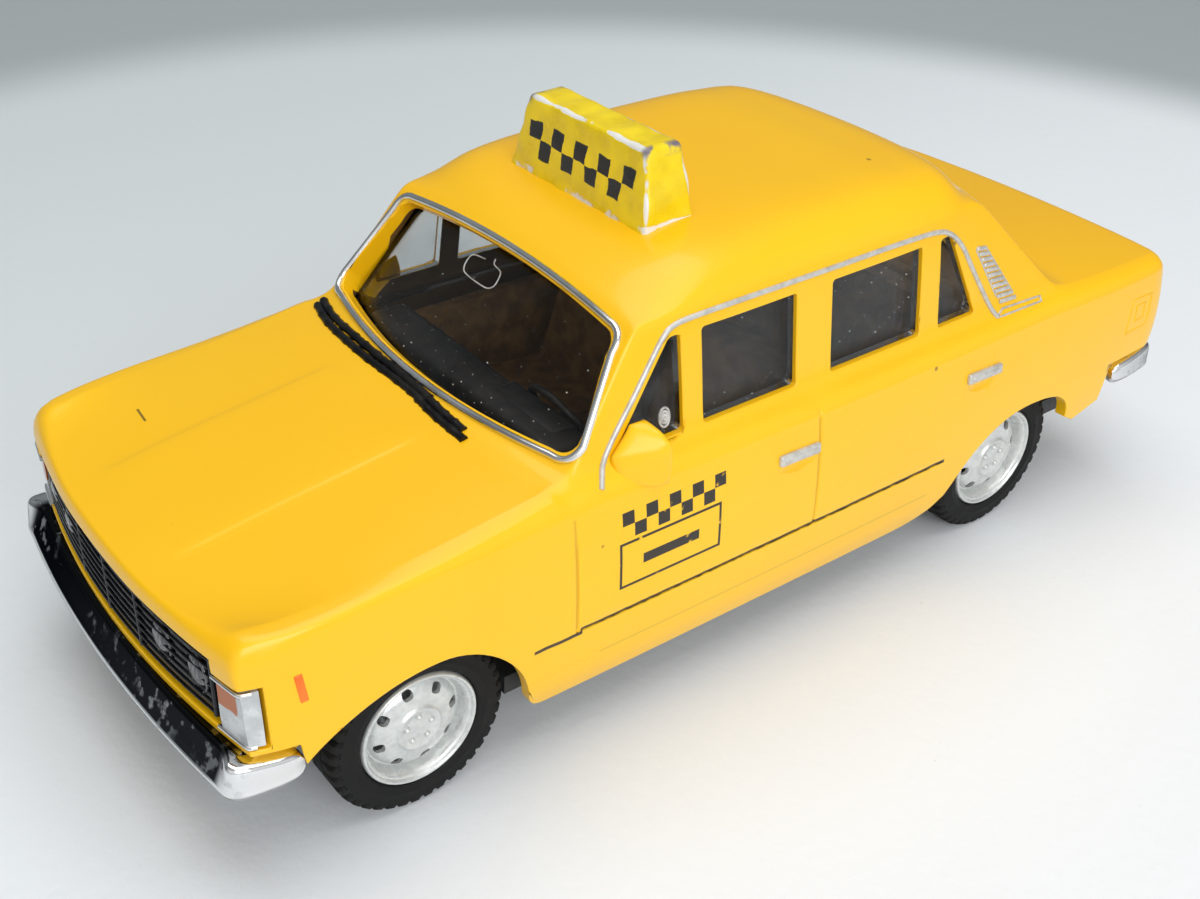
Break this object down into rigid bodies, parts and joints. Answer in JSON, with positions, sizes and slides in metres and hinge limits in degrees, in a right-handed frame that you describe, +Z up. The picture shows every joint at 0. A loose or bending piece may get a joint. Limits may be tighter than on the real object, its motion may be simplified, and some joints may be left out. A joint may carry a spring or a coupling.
{
  "type": "die-cast toy car",
  "caption": "Yellow die-cast toy saloon dressed as a cab, with a roof sign, bright bumpers, dark glazing and two free-turning wheelsets.",
  "frame": {"origin": "on the ground, below the middle of the car's overall length and width", "axes": "+X towards the front bumper, +Y to the car's left, +Z up"},
  "size_m": [0.0962, 0.0378, 0.0397],
  "materials": {
    "yellow_paint": "thick gloss paint on a zinc casting",
    "sign_paint": "brushed-on lemon paint, chipped edges",
    "black_plastic": "moulded black plastic",
    "interior_plastic": "moulded dark plastic",
    "tyre_rubber": "moulded soft tyre with shoulder lugs",
    "rim_silver": "satin silver",
    "steel": "plain steel",
    "bumper_plating": "vacuum plating, dulled and specked",
    "clear_plastic": "clear moulded plastic, lightly scratched",
    "lamp_silver": "silvered lens",
    "lamp_red": "clear red plastic"
  },
  "bodies": {
    "car_body": {"body_shell": "yellow_paint", "base_plate": "black_plastic", "interior_tub": "interior_plastic", "dashboard": "interior_plastic", "steering_wheel": "interior_plastic", "window_glazing": "clear_plastic", "front_grille": "black_plastic", "headlamp_left_outer": "lamp_silver", "headlamp_left_inner": "lamp_silver", "headlamp_right_outer": "lamp_silver", "headlamp_right_inner": "lamp_silver", "corner_lamp_left": "lamp_silver", "corner_lamp_right": "lamp_silver", "tail_lamp_left": "lamp_red", "tail_lamp_right": "lamp_red", "front_bumper": "bumper_plating", "rear_bumper": "bumper_plating", "roof_sign": "sign_paint", "base_screw_front": "steel", "base_screw_rear": "steel"},
    "front_wheelset": {"axle_front": "steel", "rim_front_left": "rim_silver", "rim_front_right": "rim_silver", "tyre_front_left": "tyre_rubber", "tyre_front_right": "tyre_rubber"},
    "rear_wheelset": {"axle_rear": "steel", "rim_rear_left": "rim_silver", "rim_rear_right": "rim_silver", "tyre_rear_left": "tyre_rubber", "tyre_rear_right": "tyre_rubber"}
  },
  "joints": [
    {"name": "front_axle_spin", "type": "hinge", "parent": "car_body", "child": "front_wheelset", "pos_m": [0.0321, 0, 0.00692], "axis": [0, 1, 0], "continuous": true},
    {"name": "rear_axle_spin", "type": "hinge", "parent": "car_body", "child": "rear_wheelset", "pos_m": [-0.0271, 0, 0.00692], "axis": [0, 1, 0], "continuous": true}
  ]
}
